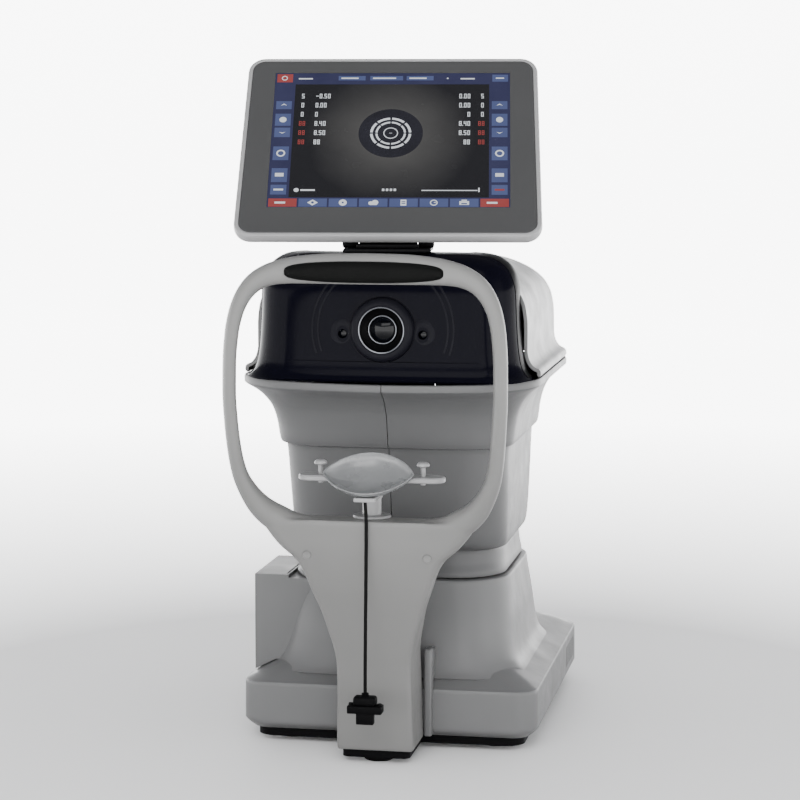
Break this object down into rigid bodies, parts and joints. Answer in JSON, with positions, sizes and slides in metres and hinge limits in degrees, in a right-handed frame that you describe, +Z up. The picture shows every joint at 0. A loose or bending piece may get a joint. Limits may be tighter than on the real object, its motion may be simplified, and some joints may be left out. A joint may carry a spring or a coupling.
{
  "type": "autorefractor",
  "caption": "Desk-top autorefractor with a touch screen on a swivel, three-way moving measuring head, headrest arch and chin rest.",
  "frame": {"origin": "centre of the bounding box's footprint, on the table surface, measured without the hanging lead and its plug", "axes": "+Z up, +Y away from the patient towards the examiner's side, +X to the right as seen by the patient facing the instrument"},
  "size_m": [0.2812, 0.4345, 0.6061],
  "materials": {
    "case_grey": "fine-textured moulded ABS, mid grey",
    "cover_white": "fine-textured moulded ABS, light grey-white",
    "light_grey": "smooth satin moulded plastic, light grey",
    "arch_grey": "satin paint on cast aluminium",
    "black_gloss": "polished black acrylic",
    "black_matte": "black moulded plastic",
    "rubber_black": "soft black rubber",
    "pad_black": "matte black soft silicone",
    "steel": "ground steel",
    "aluminium": "machined aluminium",
    "ring_metal": "satin chrome",
    "lens_glass": "anti-reflection coated glass",
    "splitter_glass": "thin coated plate glass",
    "display": "lit LCD under cover glass",
    "board_green": "solder-masked circuit board",
    "bezel_grey": "satin dark grey plastic",
    "cup_white": "translucent milk-white polycarbonate",
    "paper": "thermal paper",
    "cable_black": "flexible black PVC jacket"
  },
  "bodies": {
    "base": {"base_tray": "black_matte", "rubber_feet": "rubber_black", "base_cover": "case_grey", "turret_cover": "case_grey", "printer_housing": "case_grey", "door_pin": "steel", "roll_spindle": "black_matte", "print_head": "black_matte", "mainboard": "board_green", "power_supply": "aluminium", "power_inlet": "black_matte", "io_panel": "aluminium", "y_rails": "steel", "y_motor": "black_matte", "headrest_column": "light_grey", "column_back": "light_grey", "headrest_frame": "arch_grey", "forehead_pad": "pad_black", "screw_caps": "light_grey", "post_flange": "light_grey", "chin_motor": "black_matte"},
    "y_stage": {"y_carriage": "aluminium", "x_rails": "steel", "x_motor": "black_matte"},
    "x_stage": {"x_carriage": "aluminium", "z_column": "aluminium", "z_motor": "black_matte", "turret_collar": "case_grey"},
    "lift_screw": {"z_screw": "steel"},
    "head": {"head_chassis": "aluminium", "head_cover_left": "case_grey", "head_cover_right": "case_grey", "head_top_cover": "cover_white", "front_mask": "black_gloss", "lens_bezel": "black_gloss", "mire_ring": "ring_metal", "objective_lens": "lens_glass", "sensor_windows": "lens_glass", "optical_tube": "black_matte", "beam_splitter": "splitter_glass", "camera_module": "board_green", "fixation_unit": "black_matte", "swivel_base": "light_grey"},
    "swivel": {"swivel_block": "black_matte", "hinge_pin": "steel"},
    "screen": {"screen_back": "light_grey", "screen_bezel": "bezel_grey", "display_panel": "display", "touch_glass": "display"},
    "chin_rest": {"chin_post": "light_grey", "chin_plate": "light_grey", "chin_cup": "cup_white", "sensor_lead": "cable_black", "lead_plug": "black_matte"},
    "pin_left": {"paper_pin_left": "light_grey"},
    "pin_right": {"paper_pin_right": "light_grey"},
    "door": {"printer_door": "case_grey"},
    "roll": {"paper_roll": "paper"},
    "platen": {"platen_roller": "rubber_black"},
    "rocker": {"power_switch": "black_matte"}
  },
  "joints": [
    {"name": "fore_aft", "type": "slide", "parent": "base", "child": "y_stage", "axis": [0, 1, 0], "range_m": [-0.02, 0.02]},
    {"name": "left_right", "type": "slide", "parent": "y_stage", "child": "x_stage", "axis": [1, 0, 0], "range_m": [-0.035, 0.035]},
    {"name": "up_down", "type": "slide", "parent": "x_stage", "child": "head", "axis": [0, 0, 1], "range_m": [-0.012, 0.028]},
    {"name": "lift_screw_spin", "type": "hinge", "parent": "x_stage", "child": "lift_screw", "pos_m": [0.00861, 0.03, 0.14], "axis": [0, 0, 1], "range_deg": [-545, 1265]},
    {"name": "screen_swivel", "type": "hinge", "parent": "head", "child": "swivel", "pos_m": [0.00461, -0.074, 0.44], "axis": [0, 0, 1], "range_deg": [-33.5, 16.5]},
    {"name": "screen_lean", "type": "hinge", "parent": "swivel", "child": "screen", "pos_m": [0.0052, -0.07796, 0.4495], "axis": [0.989, 0.1478, 0], "range_deg": [-30, 5]},
    {"name": "chin_lift", "type": "slide", "parent": "base", "child": "chin_rest", "axis": [0, 0, 1], "range_m": [-0.014, 0.046]},
    {"name": "left_paper_pin", "type": "slide", "parent": "chin_rest", "child": "pin_left", "axis": [0, 0, 1], "range_m": [0, 0.006]},
    {"name": "right_paper_pin", "type": "slide", "parent": "chin_rest", "child": "pin_right", "axis": [0, 0, 1], "range_m": [0, 0.006]},
    {"name": "printer_door_hinge", "type": "hinge", "parent": "base", "child": "door", "pos_m": [-0.11689, -0.0165, 0.075], "axis": [0, -1, 0], "range_deg": [0, 75]},
    {"name": "paper_roll_spin", "type": "hinge", "parent": "base", "child": "roll", "pos_m": [-0.09289, -0.0165, 0.098], "axis": [0, 1, 0], "continuous": true},
    {"name": "platen_spin", "type": "hinge", "parent": "door", "child": "platen", "pos_m": [-0.09589, -0.0165, 0.131], "axis": [0, 1, 0], "continuous": true},
    {"name": "power_rocker", "type": "hinge", "parent": "base", "child": "rocker", "pos_m": [-0.03139, 0.212, 0.035], "axis": [1, 0, 0], "range_deg": [-16, 0]}
  ],
  "couplings": [
    {"joint": "lift_screw_spin", "follows": "up_down", "rad_per_m": 785.4}
  ]
}
